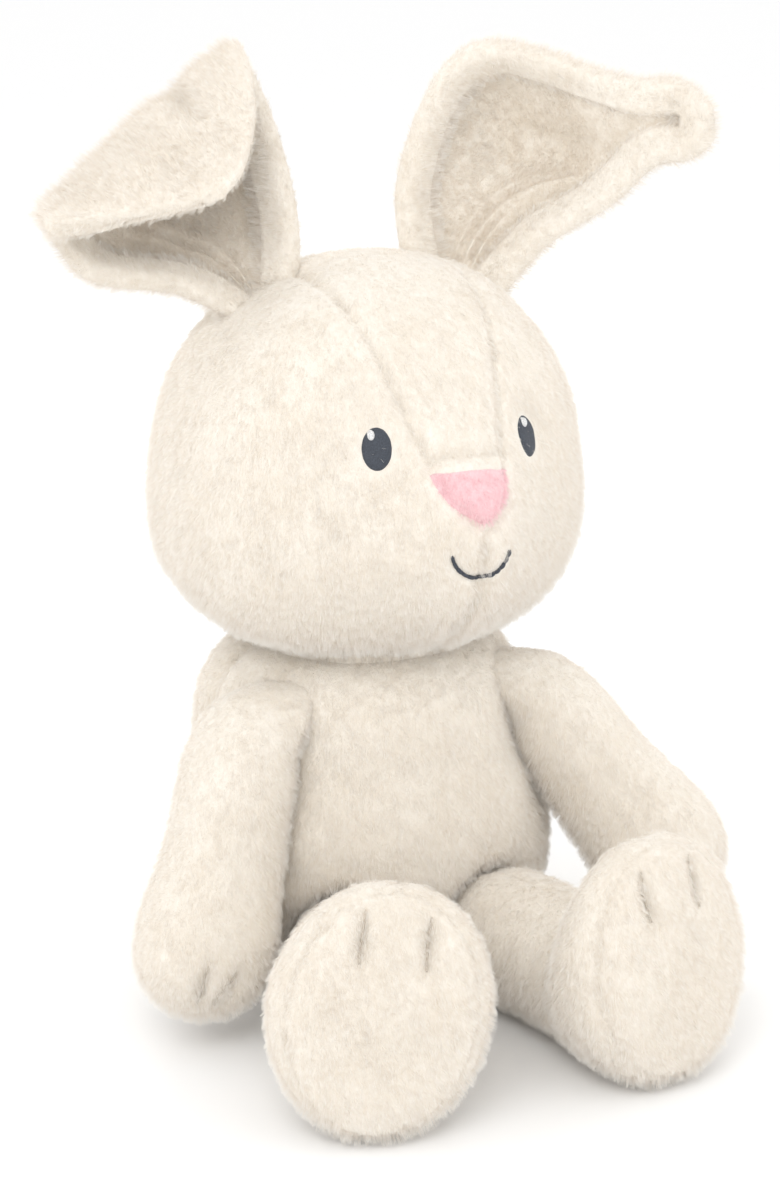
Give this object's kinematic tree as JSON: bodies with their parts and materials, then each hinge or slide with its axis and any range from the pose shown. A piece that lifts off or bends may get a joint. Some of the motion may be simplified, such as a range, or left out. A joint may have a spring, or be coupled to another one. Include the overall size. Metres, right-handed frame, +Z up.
{
  "type": "stuffed bunny",
  "caption": "Sitting plush rabbit with padded head, long folded ears, a stitched face, and arms and legs that swing and spread.",
  "frame": {"origin": "middle of the flat seat the bunny sits on", "axes": "+Z up, -Y the way the bunny looks, +X its left"},
  "size_m": [0.211, 0.2186, 0.297],
  "materials": {
    "plush": "short soft cream pile",
    "ear_lining": "short soft cream pile, a little warmer",
    "nose_plush": "short pink pile",
    "dark_thread": "satin stitch thread",
    "white_thread": "satin stitch thread",
    "cream_thread": "sewing thread",
    "wadding": "loose polyester filling"
  },
  "bodies": {
    "torso": {"torso_front_panel": "plush", "torso_back_panel": "plush", "base_panel": "plush", "torso_stuffing": "wadding", "tail_cover": "plush", "tail_stuffing": "wadding"},
    "neck": {"neck_stuffing": "plush"},
    "head": {"head_right_panel": "plush", "head_left_panel": "plush", "head_gusset": "plush", "nose_panel": "nose_plush", "head_stuffing": "wadding", "right_eye": "dark_thread", "left_eye": "dark_thread", "right_eye_highlight": "white_thread", "left_eye_highlight": "white_thread", "mouth_stitching": "dark_thread"},
    "right_ear": {"right_ear_outer": "plush", "right_ear_lining": "ear_lining"},
    "right_ear_tip": {"right_ear_tip_outer": "plush", "right_ear_tip_lining": "ear_lining"},
    "right_shoulder": {"right_shoulder": "plush"},
    "right_arm": {"right_arm_outer_panel": "plush", "right_arm_inner_panel": "plush", "right_arm_stuffing": "wadding", "right_paw_stitches": "cream_thread"},
    "right_hip": {"right_hip": "plush"},
    "right_leg": {"right_leg_outer_panel": "plush", "right_leg_inner_panel": "plush", "right_foot_sole": "plush", "right_leg_stuffing": "wadding", "right_toe_stitches": "cream_thread"},
    "left_ear": {"left_ear_outer": "plush", "left_ear_lining": "ear_lining"},
    "left_ear_tip": {"left_ear_tip_outer": "plush", "left_ear_tip_lining": "ear_lining"},
    "left_shoulder": {"left_shoulder": "plush"},
    "left_arm": {"left_arm_outer_panel": "plush", "left_arm_inner_panel": "plush", "left_arm_stuffing": "wadding", "left_paw_stitches": "cream_thread"},
    "left_hip": {"left_hip": "plush"},
    "left_leg": {"left_leg_outer_panel": "plush", "left_leg_inner_panel": "plush", "left_foot_sole": "plush", "left_leg_stuffing": "wadding", "left_toe_stitches": "cream_thread"}
  },
  "joints": [
    {"name": "head_nod", "type": "hinge", "parent": "torso", "child": "neck", "pos_m": [0, 0, 0.111], "axis": [1, 0, 0], "range_deg": [-12, 12]},
    {"name": "head_turn", "type": "hinge", "parent": "neck", "child": "head", "pos_m": [0, 0, 0.111], "axis": [0, 0, 1], "range_deg": [-60, 60]},
    {"name": "right_ear_flop", "type": "hinge", "parent": "head", "child": "right_ear", "pos_m": [-0.036, -0.0025, 0.2285], "axis": [-0.9033, 0.414, -0.1129], "range_deg": [-20, 18]},
    {"name": "right_ear_fold", "type": "hinge", "parent": "right_ear", "child": "right_ear_tip", "pos_m": [-0.065, 0.014, 0.27125], "axis": [-0.8046, 0, -0.5939], "range_deg": [-4, 95]},
    {"name": "left_ear_flop", "type": "hinge", "parent": "head", "child": "left_ear", "pos_m": [0.0315, 0.007, 0.228], "axis": [-0.9221, 0.3816, 0.0636], "range_deg": [-25, 20]},
    {"name": "left_ear_fold", "type": "hinge", "parent": "left_ear", "child": "left_ear_tip", "pos_m": [0.0893, -0.0167, 0.2675], "axis": [0.212, -0.212, -0.954], "range_deg": [-25, 25]},
    {"name": "right_shoulder_swing", "type": "hinge", "parent": "torso", "child": "right_shoulder", "pos_m": [-0.05, -0.024, 0.088], "axis": [-1, 0, 0], "range_deg": [-1, 35]},
    {"name": "right_arm_raise", "type": "hinge", "parent": "right_shoulder", "child": "right_arm", "pos_m": [-0.05, -0.024, 0.088], "axis": [0, 1, 0], "range_deg": [-1, 75]},
    {"name": "right_hip_splay", "type": "hinge", "parent": "torso", "child": "right_hip", "pos_m": [-0.025, -0.045, 0.0218], "axis": [0, 0, -1], "range_deg": [-6, 10]},
    {"name": "right_leg_swing", "type": "hinge", "parent": "right_hip", "child": "right_leg", "pos_m": [-0.025, -0.045, 0.0218], "axis": [-1, 0, 0], "range_deg": [-20, 28]},
    {"name": "left_shoulder_swing", "type": "hinge", "parent": "torso", "child": "left_shoulder", "pos_m": [0.05, -0.024, 0.088], "axis": [-1, 0, 0], "range_deg": [-1, 110]},
    {"name": "left_arm_raise", "type": "hinge", "parent": "left_shoulder", "child": "left_arm", "pos_m": [0.05, -0.024, 0.088], "axis": [0, -1, 0], "range_deg": [-1, 75]},
    {"name": "left_hip_splay", "type": "hinge", "parent": "torso", "child": "left_hip", "pos_m": [0.025, -0.045, 0.0218], "axis": [0, 0, 1], "range_deg": [-6, 15]},
    {"name": "left_leg_swing", "type": "hinge", "parent": "left_hip", "child": "left_leg", "pos_m": [0.025, -0.045, 0.0218], "axis": [-1, 0, 0], "range_deg": [-20, 30]}
  ]
}
